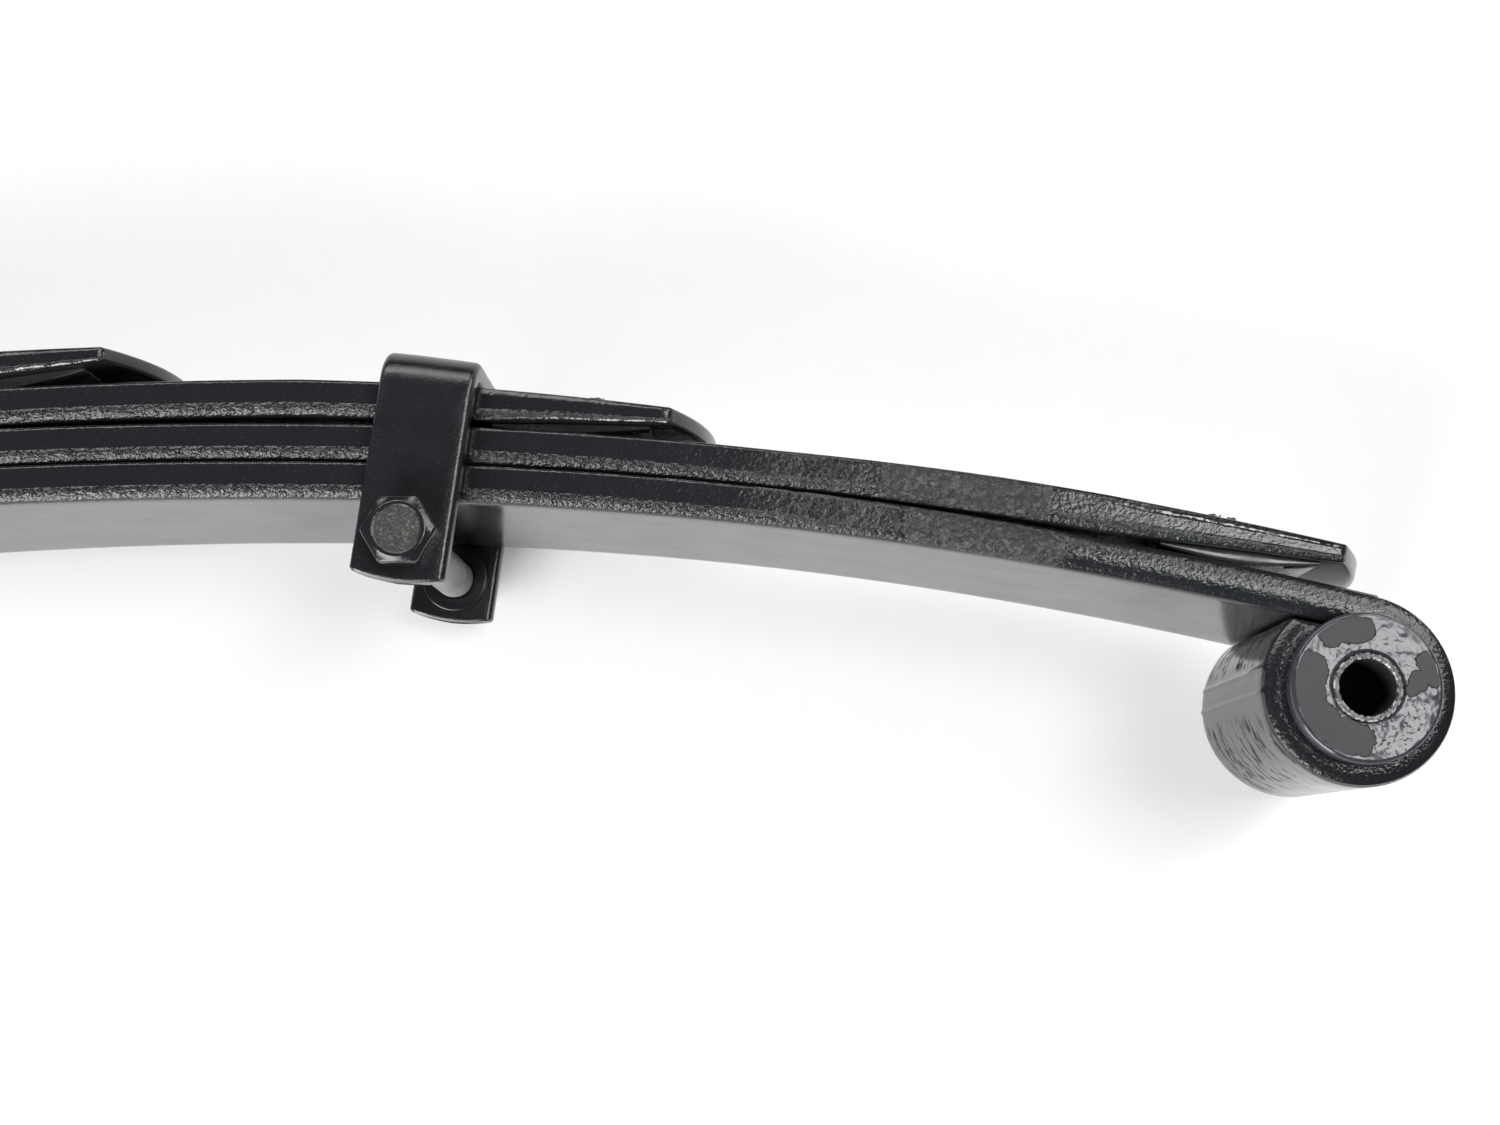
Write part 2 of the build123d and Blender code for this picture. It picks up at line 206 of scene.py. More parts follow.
def tube_faces(rows, columns):
    """Quads between closed rings of points."""
    faces = []
    for i in range(rows - 1):
        one, two = i * columns, (i + 1) * columns
        for j in range(columns):
            k = (j + 1) % columns
            faces.append((one + j, one + k, two + k, two + j))
    return faces


def oriented(piece):
    """Turn every face outwards."""
    work = bmesh.new()
    work.from_mesh(piece.data)
    bmesh.ops.recalc_face_normals(work, faces=work.faces)
    work.to_mesh(piece.data)
    work.free()
    return piece


# ---- materials ----------------------------------------------------------------
RANGE_INPUTS = ("From Min", "From Max", "To Min", "To Max")


class Nodes:
    """Small helper that adds and links shader nodes."""

    def __init__(self, name):
        self.material = bpy.data.materials.new(name)
        self.material.use_nodes = True
        self.tree = self.material.node_tree
        self.shader = self.tree.nodes["Principled BSDF"]

    def add(self, kind, **settings):
        node = self.tree.nodes.new(kind)
        for key, value in settings.items():
            setattr(node, key, value)
        return node

    def link(self, source, target):
        self.tree.links.new(source, target)

    def place(self):
        return self.add("ShaderNodeTexCoord").outputs["Object"]

    def attribute(self, name, output="Fac"):
        return self.add("ShaderNodeAttribute", attribute_name=name).outputs[output]

    def stretched(self, vector, scale):
        mapping = self.add("ShaderNodeMapping")
        self.link(vector, mapping.inputs["Vector"])
        mapping.inputs["Scale"].default_value = scale
        return mapping.outputs["Vector"]

    def noise(self, vector, size, detail=3.0, roughness=0.55, distortion=0.0):
        """Noise whose features are about size millimetres wide."""
        node = self.add("ShaderNodeTexNoise")
        self.link(vector, node.inputs["Vector"])
        node.inputs["Scale"].default_value = 1 / (size * MM)
        node.inputs["Detail"].default_value = detail
        node.inputs["Roughness"].default_value = roughness
        node.inputs["Distortion"].default_value = distortion
        return node.outputs["Fac"]

    def remap(self, value, low, high, to_low=0.0, to_high=1.0):
        node = self.add("ShaderNodeMapRange", clamp=True)
        self.link(value, node.inputs["Value"])
        for key, number in zip(RANGE_INPUTS, (low, high, to_low, to_high)):
            node.inputs[key].default_value = number
        return node.outputs["Result"]

    def math(self, operation, a, b=None):
        node = self.add("ShaderNodeMath", operation=operation)
        for slot, value in zip(node.inputs, (a, b)):
            if value is None:
                continue
            if isinstance(value, (int, float)):
                slot.default_value = value
            else:
                self.link(value, slot)
        return node.outputs["Value"]

    def mix(self, factor, a, b):
        """Colour or number between a and b."""
        colour = isinstance(a, tuple) or isinstance(b, tuple)
        node = self.add("ShaderNodeMix", data_type="RGBA" if colour else "FLOAT")
        slots = (node.inputs[6], node.inputs[7]) if colour else (node.inputs[2], node.inputs[3])
        self.link(factor, node.inputs[0])
        for slot, value in zip(slots, (a, b)):
            if isinstance(value, tuple):
                slot.default_value = (*value, 1.0)
            elif isinstance(value, (int, float)):
                slot.default_value = value
            else:
                self.link(value, slot)
        return node.outputs[2] if colour else node.outputs[0]

    def bump(self, layers):
        """Stacked bumps from (height output, depth in millimetres) pairs."""
        normal = None
        for value, depth in layers:
            node = self.add("ShaderNodeBump")
            node.inputs["Strength"].default_value = 1.0
            node.inputs["Distance"].default_value = depth * MM
            self.link(value, node.inputs["Height"])
            if normal is not None:
                self.link(normal, node.inputs["Normal"])
            normal = node.outputs["Normal"]
        self.link(normal, self.shader.inputs["Normal"])

    def finish(self, colour, roughness, metallic=0.0, specular=0.5):
        for value, key in ((colour, "Base Color"), (roughness, "Roughness")):
            if isinstance(value, tuple):
                self.shader.inputs[key].default_value = (*value, 1.0)
            elif isinstance(value, (int, float)):
                self.shader.inputs[key].default_value = value
            else:
                self.link(value, self.shader.inputs[key])
        self.shader.inputs["Metallic"].default_value = metallic
        self.shader.inputs["Specular IOR Level"].default_value = specular
        return self.material


PAINT = (0.011, 0.012, 0.0135)
# Lighter grey for specks and for the crests of the clamp marks' folds: partly worn paint, partly painted
# glints.
PAINT_WEAR_AND_GLINT = (0.070, 0.071, 0.073)
PAINT_SPECK = (0.030, 0.032, 0.034)
PAINT_FILM = (0.030, 0.031, 0.038)
# Near-black along the edge of the paint film and in its pits; in the pits it is painted shade.
FILM_EDGE_AND_PIT_SHADE = (0.006, 0.006, 0.007)
# Near-black inside open cracks of the paint: painted shade.
SLIT_SHADE = (0.001, 0.001, 0.001)
# Near-black inside the sleeve's bore: painted shade.
BORE_SHADE = (0.003, 0.003, 0.003)
TORN_STEEL = (0.34, 0.34, 0.35)
BRIGHT_STEEL = (0.50, 0.50, 0.50)
# Light grey of the shank between the strap's legs: a painted reflection of the pale floor.
SHANK_REFLECTION_GREY = (0.155, 0.158, 0.152)
DUST = (0.15, 0.138, 0.105)
RUBBER = ((0.024, 0.024, 0.026), (0.034, 0.034, 0.037))
PLASTIC = ((0.024, 0.025, 0.026), (0.042, 0.043, 0.044))
PAPER = ((0.655, 0.66, 0.665), (0.67, 0.675, 0.68))
FLOOR_GLOW = 0.37
FAR_GREY = 0.27


def leaf_paint():
    """Black paint over peened steel: grainy edges, satin faces, clamp marks and cracks."""
    n = Nodes("leaf_paint")
    place = n.place()
    peened = n.attribute("peened")
    scuff = n.attribute("scuff")
    crack = n.attribute("crack")
    chip = n.attribute("chip")
    run = n.attribute("run", "Vector")
    grain = n.noise(n.stretched(place, (1.0, 1.25, 1.0)), 1.05, detail=2.0, roughness=0.5)
    fine = n.noise(place, 0.38, detail=3.0)
    wave = n.noise(place, 9.0)
    specks = n.remap(n.noise(place, 0.55, detail=2.0), 0.68, 0.74)
    folded = n.stretched(place, (1.0, 1.3, 1.3))
    folds = n.noise(folded, 1.5, detail=4.0, roughness=0.65, distortion=1.2)
    slits = n.noise(n.stretched(run, (0.30, 1.0, 1.0)), 1.80, detail=3.0, distortion=0.8)
    patches = n.noise(n.stretched(run, (0.5, 1.0, 1.0)), 9.0, detail=1.0)
    reach = n.math("MULTIPLY", n.remap(patches, 0.34, 0.48), crack)
    open_slit = n.math("MULTIPLY", n.remap(slits, 0.56, 0.585), reach)
    n.bump([(n.math("MULTIPLY", grain, peened), 0.52), (n.math("MULTIPLY", fine, peened), 0.10),
            (n.math("MULTIPLY", folds, scuff), 0.60), (wave, 0.05),
            (n.math("SUBTRACT", 1.0, open_slit), 0.9)])
    # On the crests of the clamp marks' folds the paint is lightened: partly worn paint, partly painted
    # glints.
    wear_and_glint = n.math("MULTIPLY", n.remap(folds, 0.52, 0.60, 0.0, 0.7), scuff)
    colour = n.mix(n.math("MAXIMUM", n.math("MULTIPLY", specks, 0.4), wear_and_glint), PAINT, PAINT_WEAR_AND_GLINT)
    # Open cracks are painted near-black, darker than the paint: painted shade inside them.
    colour = n.mix(open_slit, colour, SLIT_SHADE)
    torn = n.math("ADD", chip, n.remap(n.noise(place, 0.9, detail=3.0), 0.3, 0.7, -0.35, 0.35))
    bare = n.remap(torn, 0.55, 0.75)
    colour = n.mix(bare, colour, TORN_STEEL)
    gloss = n.remap(n.noise(place, 14.0, detail=5.0), 0.3, 0.7, 0.15, 0.22)
    return n.finish(colour, n.mix(open_slit, n.mix(bare, gloss, 0.35), 0.8))


def clip_paint():
    """Glossy black paint with fine dust specks."""
    n = Nodes("clip_paint")
    place = n.place()
    specks = n.remap(n.noise(place, 0.42, detail=3.0), 0.63, 0.72)
    wave = n.noise(place, 6.0, detail=3.0)
    fine = n.noise(place, 0.55, detail=4.0, roughness=0.6)
    n.bump([(wave, 0.06), (fine, 0.07)])
    colour = n.mix(specks, PAINT, PAINT_SPECK)
    return n.finish(colour, n.remap(n.noise(place, 6.0), 0.3, 0.7, 0.15, 0.24))


def fastener_paint():
    """Black paint over forged steel, dusty in the hollow of the head, with the shank painted light grey as
    a painted reflection of the pale floor.
    """
    n = Nodes("fastener_paint")
    place = n.place()
    dusty = n.attribute("dusty")
    shank_reflection = n.attribute("shank_reflection")
    grit = n.noise(place, 0.42, detail=5.0, roughness=0.7)
    lumps = n.noise(place, 1.5, detail=3.0)
    n.bump([(n.math("MULTIPLY", lumps, n.remap(dusty, 0, 1, 0.15, 1.0)), 0.45),
            (n.math("MULTIPLY", grit, n.remap(dusty, 0, 1, 0.12, 1.0)), 0.22)])
    cloud = n.remap(n.noise(place, 4.5, detail=2.0), 0.42, 0.60)
    grains = n.math("MULTIPLY", n.remap(grit, 0.52, 0.64), dusty)
    dust = n.math("MULTIPLY", grains, n.remap(cloud, 0, 1, 0.25, 1.0))
    colour = n.mix(dust, PAINT, DUST)
    # The shank between the strap's legs gets a painted reflection of the pale floor, as light grey colour.
    colour = n.mix(shank_reflection, colour, SHANK_REFLECTION_GREY)
    return n.finish(colour, n.mix(shank_reflection, n.remap(dusty, 0.0, 1.0, 0.16, 0.38), 0.42))


def bush_skin():
    """Grey rubber with glossy paint left on it in islands."""
    n = Nodes("bush_skin")
    place = n.place()
    film = n.attribute("film")
    pitted = n.attribute("pitted")
    ragged = n.math("ADD", film, n.remap(n.noise(place, 1.5, detail=4.0), 0.3, 0.7, -0.07, 0.07))
    painted = n.remap(ragged, 0.49, 0.51)
    rim = n.remap(n.math("ABSOLUTE", n.math("SUBTRACT", ragged, 0.5)), 0.02, 0.07, 1.0, 0.0)
    peel = n.noise(place, 6.5, detail=1.0)
    rubber = n.noise(place, 0.5, detail=4.0)
    hole = n.remap(n.noise(place, 0.85, detail=2.0), 0.60, 0.66)
    pits = n.math("MULTIPLY", n.math("MULTIPLY", hole, pitted), painted)
    pores = n.math("MULTIPLY", rubber, n.remap(painted, 0, 1, 1.0, 0.12))
    n.bump([(painted, 0.12), (n.math("MULTIPLY", peel, painted), 0.75), (pores, 0.05),
            (n.math("SUBTRACT", 1.0, pits), 0.20)])
    colour = n.mix(painted, n.mix(n.noise(place, 5.0), *RUBBER), PAINT_FILM)
    # The film's edge and its pits are painted near-black, darker than film or rubber; in the pits this is
    # painted shade.
    dark = n.math("MAXIMUM", n.math("MULTIPLY", rim, 0.85), pits)
    colour = n.mix(dark, colour, FILM_EDGE_AND_PIT_SHADE)
    return n.finish(colour, n.mix(painted, 0.62, 0.20))


def sleeve_steel():
    """Painted steel tube with bright, broken lips and painted shade in its bore."""
    n = Nodes("sleeve_steel")
    place = n.place()
    bare = n.attribute("bare")
    inside = n.attribute("inside")
    chips = n.math("MULTIPLY", n.remap(n.noise(place, 0.9, detail=5.0), 0.46, 0.56), bare)
    n.bump([(n.noise(place, 0.6, detail=5.0), 0.10), (chips, 0.08)])
    colour = n.mix(chips, PAINT, BRIGHT_STEEL)
    # The bore is painted near-black: painted shade inside the tube.
    colour = n.mix(inside, colour, BORE_SHADE)
    return n.finish(colour, n.mix(inside, 0.32, 0.9))


def liner_plastic():
    """Smooth moulded plastic, wet with paint in places."""
    n = Nodes("liner_plastic")
    place = n.place()
    wave = n.noise(place, 6.0, detail=3.0)
    fine = n.noise(place, 0.7, detail=3.0)
    n.bump([(wave, 0.05), (fine, 0.015)])
    colour = n.mix(n.noise(place, 3.0), *PLASTIC)
    return n.finish(colour, n.remap(wave, 0.35, 0.65, 0.16, 0.30))


def floor_paper():
    """Pale seamless paper that glows a little, so that shadows on it stay soft."""
    n = Nodes("floor_paper")
    fibre = n.noise(n.place(), 9.0, detail=4.0)
    n.bump([(fibre, 0.02)])
    colour = n.mix(fibre, *PAPER)
    n.link(colour, n.shader.inputs["Emission Color"])
    n.shader.inputs["Emission Strength"].default_value = FLOOR_GLOW
    return n.finish(colour, 0.9, specular=0.1)


LEAF = leaf_paint()
CLIP = clip_paint()
FASTENER = fastener_paint()
BUSH = bush_skin()
SLEEVE = sleeve_steel()
LINER = liner_plastic()


# ---- leaves -------------------------------------------------------------------
FLAT_POINTS = 11
CORNER_POINTS = 10
SIDE_POINTS = 14


def section(thick, low, high):
    """Closed outline of a bar as (z, height, edge) rows, from the middle of its lower face.

    low and high are the lower and upper corners as (inset, rise): elliptical arcs that
    meet the flat faces and the side without a crease. Edge is 1 on the side, 0 on the faces.
    """
    (low_in, low_rise), (high_in, high_rise) = low, high
    half = [((HALF_W - low_in) * i / FLAT_POINTS, 0.0, 0.0) for i in range(FLAT_POINTS + 1)]
    for i in range(1, CORNER_POINTS):
        a = math.pi / 2 * i / CORNER_POINTS
        edge = min(1.0, 1.8 * i / CORNER_POINTS)
        half.append((HALF_W - low_in * (1 - math.sin(a)), low_rise * (1 - math.cos(a)), edge))
    top = thick - high_rise
    for i in range(SIDE_POINTS + 1):
        half.append((HALF_W, low_rise + (top - low_rise) * i / SIDE_POINTS, 1.0))
    for i in range(1, CORNER_POINTS):
        a = math.pi / 2 * i / CORNER_POINTS
        edge = min(1.0, 1.8 * (1 - i / CORNER_POINTS))
        half.append((HALF_W - high_in * (1 - math.cos(a)), top + high_rise * math.sin(a), edge))
    half += [((HALF_W - high_in) * (1 - i / FLAT_POINTS), thick, 0.0) for i in range(FLAT_POINTS + 1)]
    return half + [(-z, m, e) for z, m, e in half[-2:0:-1]]


SECTION_POINTS = len(section(THICK, (2.5, 2.5), (2.5, 2.5)))
# How much of the grain the smooth part of a side and the worked end of the main leaf show.
SMOOTH_SIDE = 0.22
WORKED_SIDE = 0.35
WORKED_FROM, WORKED_TO = 385, 450

# Corners of a leaf's section: inset in millimetres, and rise as a share of the thickness.
# Each is (plain, added where the main leaf is worked, added where a tip is thinned).
LOW_CORNER = ((2.4, 0.0, -1.2), (0.38, 0.11, -0.12))
HIGH_CORNER = ((0.9, 1.6, 0.2), (0.10, 0.38, 0.18))

# Marks of the paint line's clamps, by station: each pair of numbers is one soft border.
HAZE = 0.20
CLAMP_MARKS = {
    "main": {"haze": (365, 385, 405, 412), "mark": (409, 413, 442, 446)},
    "second": {"haze": (365, 385, 398, 404), "mark": (402, 406, 437, 441)},
}

# Torn ridges along the tips: place as a share of the thickness, and stations where they begin.
BURR = 0.30
BURR_HALF = 0.05
BURR_LINES = {
    "second": (0.80, 448, 462),
    "third": (0.10, 318, 330),
    "fourth": (0.12, 190, 205),
}


def between(borders, value):
    """1 between two soft borders and 0 outside them."""
    up, full, down, gone = borders
    return smooth(up, full, value) * (1 - smooth(down, gone, value))


def scuffed(name, s):
    """How strongly the clamps of the paint line have marked the edge, by station."""
    if name not in CLAMP_MARKS:
        return 0.0
    marks = CLAMP_MARKS[name]
    return HAZE * between(marks["haze"], s) + between(marks["mark"], s)


def burred(name, here, share):
    """Height of the torn ridge that the tapering of a tip leaves along its side."""
    if name not in BURR_LINES:
        return 0.0
    line, begins, whole = BURR_LINES[name]
    if name == "second":
        line -= 0.04 * smooth(455, 500, here)
    line += 0.035 * rough((here, 0.0, 0.0), 3.5, 5.0)
    torn = 0.75 + 0.9 * rough((here, 1.0, 0.0), 1.6, 3.0)
    return BURR * smooth(begins, whole, here) * torn * math.exp(-((share - line) / BURR_HALF) ** 2)


def corner(shape, worked, thinned, thick):
    """Inset and rise of a corner of a leaf's section, in millimetres."""
    inset, rise = (plain + a * worked + b * thinned for plain, a, b in shape)
    return inset, rise * thick


def leaf_row(name, s, side, close=0.0):
    """One ring of a leaf at station s; close pulls it in, in millimetres, to round an end off."""
    base, crest = leaf_heights(name, s)
    thick = crest - base
    tip = None if name == "main" else LEAVES[name]["tip"]
    bow = 0.0 if tip is None else smooth(tip - TAPER, tip, s)
    worked = smooth(WORKED_FROM, WORKED_TO, s) if name == "main" else 0.0
    thinned = 0.0 if tip is None else smooth(tip - TAPER - 2, tip - TAPER + 10, s)
    low = corner(LOW_CORNER, worked, thinned, thick)
    high = corner(HIGH_CORNER, worked, thinned, thick)
    marks = scuffed(name, s)
    points, values, runs = [], [], []
    for z, m, e in section(thick, low, high):
        burr = burred(name, s, m / thick) if e > 0.6 and not close else 0.0
        low_edge = 1 - smooth(0.26 * thick, 0.40 * thick, m)
        if close:
            z = math.copysign(max(abs(z) - close, 0.0), z)
            m = min(max(m, close), thick - close)
        reach = math.sqrt(max(TIP_RADIUS ** 2 - z * z, 0.0)) - (TIP_RADIUS - TIP_RISE)
        here = s + bow * max(reach, 0.0)
        grow = 0.09 * rough((here, side * z, base + m), 9.0)
        grow += 0.04 * rough((here, z, base), 3.0, 4.0)
        dents = 0.38 * rough((here, z, m), 2.0, 7.0) + 0.20 * rough((here, z, m), 0.9, 8.0)
        pinch = marks * e * dents
        if e > 0.5:
            sunk = (0.20 + 0.35 * marks + grow + pinch) * min(1.0, 2 * e - 1)
            z -= math.copysign(max(sunk - burr, 0.0), z)
        points.append(point(here, base + m, z, side))
        peened = e * max(low_edge * (1 - worked), SMOOTH_SIDE, WORKED_SIDE * worked)
        values.append((peened, marks * e, 0.0, burr / BURR))
        runs.append((here, z, base + m))
    return points, runs, values


# On the rolled eye, by angle: ridges across the barrel, and bands where its paint has cracked.
RIDGE = 0.32
RIDGE_HALF = 1.3
RIDGES = (255.6, 270.0)
CRACKED = ((1.0, (182, 200, 236, 248)), (0.8, (273, 279, 297, 305)))


def eye_row(angle, side):
    """One ring of the rolled eye, angle degrees past the top of the eye."""
    ex, ey, slope = station(MAIN_END)
    cx, cy = ex - EYE_BORE_R * math.sin(slope), ey - EYE_BORE_R * math.cos(slope)
    a = math.radians(angle)
    limit = EYE_R
    if angle > 300:
        limit = min(EYE_R, ROLL_LIP / math.cos(2 * math.pi - a))
    thick = limit - EYE_BORE_R
    ridge = sum(RIDGE * math.exp(-((angle - at) / RIDGE_HALF) ** 2) for at in RIDGES)
    cracked = sum(share * between(borders, angle) for share, borders in CRACKED)
    rolled = smooth(0, 40, angle)
    low = (2.4 - 1.0 * rolled, (0.49 - 0.20 * rolled) * thick)
    high = (2.5, (0.48 + 0.06 * rolled) * thick)
    points, values, runs = [], [], []
    for z, m, e in section(thick, low, high):
        r = EYE_BORE_R + m
        jitter = 1 + 0.5 * rough((angle * 0.3, z, 0.0), 3.0, 9.0)
        if m > 0.8 * thick:
            r += (ridge * jitter - 0.35) * smooth(0.8 * thick, thick, m) if e < 0.6 else 0.0
        if e > 0.5:
            sunk = 0.20 + 0.09 * rough((angle * 0.37, z, m), 7.0)
            z -= math.copysign(sunk * min(1.0, 2 * e - 1), z)
        turn = slope + a
        points.append((side * (cx + r * math.sin(turn)), cy + r * math.cos(turn), z))
        outer = smooth(0.3 * thick, 0.6 * thick, m)
        peened = e * (WORKED_SIDE + 0.5 * rolled - 0.5 * rolled * outer)
        values.append((peened, 0.0, cracked * smooth(0.8 * thick, thick, m) * (1 - e), 0.0))
        runs.append((MAIN_END + a * EYE_R, z, m))
    return points, runs, values


def ring_cap(start):
    """Closes a section ring: strips from its lower to its upper edge, and a rim at each side."""
    last = SECTION_POINTS // 2
    faces = []
    for side in (1, -1):
        def at(k):
            return start + side * k % SECTION_POINTS
        for i in range(FLAT_POINTS):
            faces.append((at(i), at(i + 1), at(last - 1 - i), at(last - i)))
        faces.append(tuple(at(k) for k in range(FLAT_POINTS, last - FLAT_POINTS + 1)))
    return faces


def spaced(first, last, step):
    """Even stations from first to last, about step apart."""
    count = max(2, int(round(abs(last - first) / step)) + 1)
    return list(np.linspace(first, last, count))


LEAF_MARKS = ("peened", "scuff", "crack", "chip")
LONG_STEP = 3.0
END_STEP = 1.2


def leaf_piece(label, name, side, stations, eye=False):
    """One length of a leaf, closed at both ends; with eye it goes on into the rolled eye."""
    rows = [leaf_row(name, s, side) for s in stations]
    if eye:
        rows += [eye_row(angle, side) for angle in spaced(0, ROLL_END, END_STEP)[1:]]
    elif name != "main" and stations[-1] >= LEAVES[name]["tip"]:
        last = stations[-1]
        for pull, ahead in ((0.12, 0.3), (0.35, 0.55), (0.75, 0.7)):
            rows.append(leaf_row(name, last + ahead, side, close=pull))
    points = [p for row in rows for p in row[0]]
    runs = [p for row in rows for p in row[1]]
    marks = np.array([p for row in rows for p in row[2]])
    faces = tube_faces(len(rows), SECTION_POINTS)
    faces += ring_cap(0) + ring_cap((len(rows) - 1) * SECTION_POINTS)
    values = {key: marks[:, i] for i, key in enumerate(LEAF_MARKS)}
    piece = make_mesh(label, points, faces, LEAF, values=values, vectors={"run": runs})
    return oriented(piece)


def bend(piece, end_name, side, zone):
    """Bakes a leaf piece's placement into its mesh; the two ends of the blend zone are worked out but not
    used.
    """
    start = metres(point(zone[0], LAYER, 0.0, side))
    end = metres(point(zone[1], LAYER, 0.0, side))
    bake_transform(piece)


for end_name, side in (("front", 1), ("rear", -1)):
    for name in ("main", "second"):
        node = f"{name}_leaf"
        span = leaf_piece(f"{node}_{end_name}_span", name, side, spaced(0.0, SPLIT_S, LONG_STEP))
        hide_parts(node)
        bend(span, end_name, side, ROOT_BEND)
        last = MAIN_END if name == "main" else LEAVES[name]["tip"]
        stations = spaced(SPLIT_S, last, END_STEP)
        end = leaf_piece(f"{node}_{end_name}_end", name, side, stations, eye=name == "main")
        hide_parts(node)
        bend(end, end_name, side, TIP_BEND)
    for name in ("third", "fourth"):
        node = f"{name}_leaf"
        tip = LEAVES[name]["tip"]
        middle = tip - TAPER - 5
        stations = spaced(0.0, middle, LONG_STEP) + spaced(middle, tip, END_STEP)[1:]
        whole = leaf_piece(f"{node}_{end_name}", name, side, stations)
        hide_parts(node)
        bend(whole, end_name, side, ROOT_BEND)


# ---- turned and hexagonal pieces ----------------------------------------------
HEX_AF = 14.3
HEAD_H = 6.2
NUT_H = 8.0
BOLT_R = 4.7
BOLT_END = 2.5
PITCH = 1.5875
THREAD_DEPTH = 0.5
HEX_ROUND = 0.25
HEAD_TURN = math.radians(37.8)
NUT_TURN = math.radians(30.0)
SKIN = 0.05


def hex_reach(angle):
    """How far a hexagon's side lies outside its inscribed circle, by angle."""
    off = (angle + math.pi / 6) % (math.pi / 3) - math.pi / 6
    return min(HEX_AF / 2 / math.cos(off), HEX_AF / math.sqrt(3) - HEX_ROUND) - HEX_AF / 2


def along_z(cx, cy, base=0.0, way=1):
    """Places (radius, angle, height) about an axis along Z."""
    return lambda r, a, h: (cx + r * math.cos(a), cy + r * math.sin(a), base + way * h)


def along_y(cx, cy, way=1):
    """Places (radius, angle, height) about an axis along Y."""
    return lambda r, a, h: (cx + r * math.cos(a), cy + way * h, r * math.sin(a))


def turned(label, place, profile, material, values=None, segments=96, closed=True, turn=0.0, grain=0.0):
    """Piece of rings about an axis. profile rows are (radius, height, hexagon share).

    A closed profile runs back to its first row; an open one gets a flat cap at each end.
    """
    points = []
    data = {key: [] for key in (values or {})}
    for r, h, share in profile:
        for k in range(segments):
            a = 2 * math.pi * k / segments
            reach = r + share * hex_reach(a)
            p = place(reach, a + turn, h)
            lift = grain * rough(p, 1.1, 2.0)
            points.append(place(reach + 0.4 * lift, a + turn, h - math.copysign(abs(lift), h)))
            for key, rule in (values or {}).items():
                data[key].append(rule(reach, a, h))
    rows = len(profile)
    faces = tube_faces(rows, segments)
    if closed:
        last = (rows - 1) * segments
        faces += [(last + k, last + (k + 1) % segments, (k + 1) % segments, k) for k in range(segments)]
    else:
        points += [place(0.0, 0.0, profile[0][1]), place(0.0, 0.0, profile[-1][1])]
        for key, rule in (values or {}).items():
            data[key] += [rule(0.0, 0.0, profile[0][1]), rule(0.0, 0.0, profile[-1][1])]
        first, top = rows * segments, rows * segments + 1
        last = (rows - 1) * segments
        faces += [(first, (k + 1) % segments, k) for k in range(segments)]
        faces += [(top, last + k, last + (k + 1) % segments) for k in range(segments)]
    return oriented(make_mesh(label, points, faces, material, values=data))


def thread(r, first, last, way=1):
    """Profile rows of a thread cut into a shank of radius r, as closely spaced rings."""
    rows = []
    turns = int(abs(last - first) / PITCH)
    for i in range(turns):
        for part, depth in ((0.0, 0.0), (0.15, 0.0), (0.5, 1.0), (0.62, 1.0)):
            rows.append((r - THREAD_DEPTH * depth, first + way * PITCH * (i + part), 0.0))
    return rows


def corner_rows(r, h, radius, start, sweep=90.0, share=0.0, steps=4):
    """Profile rows of a rounded corner whose arc has its centre at (r, h)."""
    rows = []
    for i in range(steps + 1):
        a = math.radians(start + sweep * i / steps)
        rows.append((r + radius * math.cos(a), h + radius * math.sin(a), share))
    return rows


def nut_profile(tall, bore):
    """Profile of a nut, from its lower face up the outside and back down the bore."""
    flat, cone = HEX_AF / 2 - 0.5, 0.45
    return [
        (bore, 0.5, 0.0), (bore + 0.5, 0.0, 0.0), (flat, 0.0, 0.0), (flat + 0.5, 0.25, 0.3),
        (HEX_AF / 2, cone, 1.0), (HEX_AF / 2, tall - cone - 0.2, 1.0),
        (flat + 0.5, tall - 0.3, 0.35), (flat, tall - 0.02, 0.0), (flat - 0.3, tall, 0.0),
        (bore + 0.6, tall, 0.0), (bore, tall - 0.6, 0.0),
    ]


# ---- rebound clips ------------------------------------------------------------
def clip_frame(side):
    """Centre of the clip bolt and a function that places (across, up, z) about it."""
    x, y, slope = station(CLIP_S)
    cx, cy = x - CLIP_DEPTH * math.sin(slope), y - CLIP_DEPTH * math.cos(slope)
    lean = slope + math.radians(CLIP_TILT)

    def place(across, up, z):
        px = cx + across * math.cos(lean) + up * math.sin(lean)
        return side * px, cy - across * math.sin(lean) + up * math.cos(lean), z
    return side * cx, cy, lean, place


STRAP_EDGE = 1.35
STRAP_CROWN = 0.14
FOOT_EDGE = 0.75


def strap_section():
    """Rounded bar section as (across, thickness) rows, its outer face slightly crowned."""
    half_w, half_t = STRAP_W / 2 - STRAP_EDGE, STRAP_T / 2 - STRAP_EDGE
    rows = []
    corners = ((half_w, half_t, 0), (-half_w, half_t, 90), (-half_w, -half_t, 180), (half_w, -half_t, 270))
    for cx, cy, start in corners:
        for i in range(6):
            a = math.radians(start + 90 * i / 5)
            rows.append((cx + STRAP_EDGE * math.cos(a), cy + STRAP_EDGE * math.sin(a)))
        if cy > 0 and cx > 0 or cy < 0 and cx < 0:
            way = -1 if cx > 0 else 1
            for i in range(1, 10):
                part = i / 10
                across = way * (2 * part - 1) * half_w
                rows.append((across, math.copysign(STRAP_T / 2, cy)))
    return [(a, t - STRAP_CROWN * (a / half_w) ** 2 if t > 0 else t) for a, t in rows]


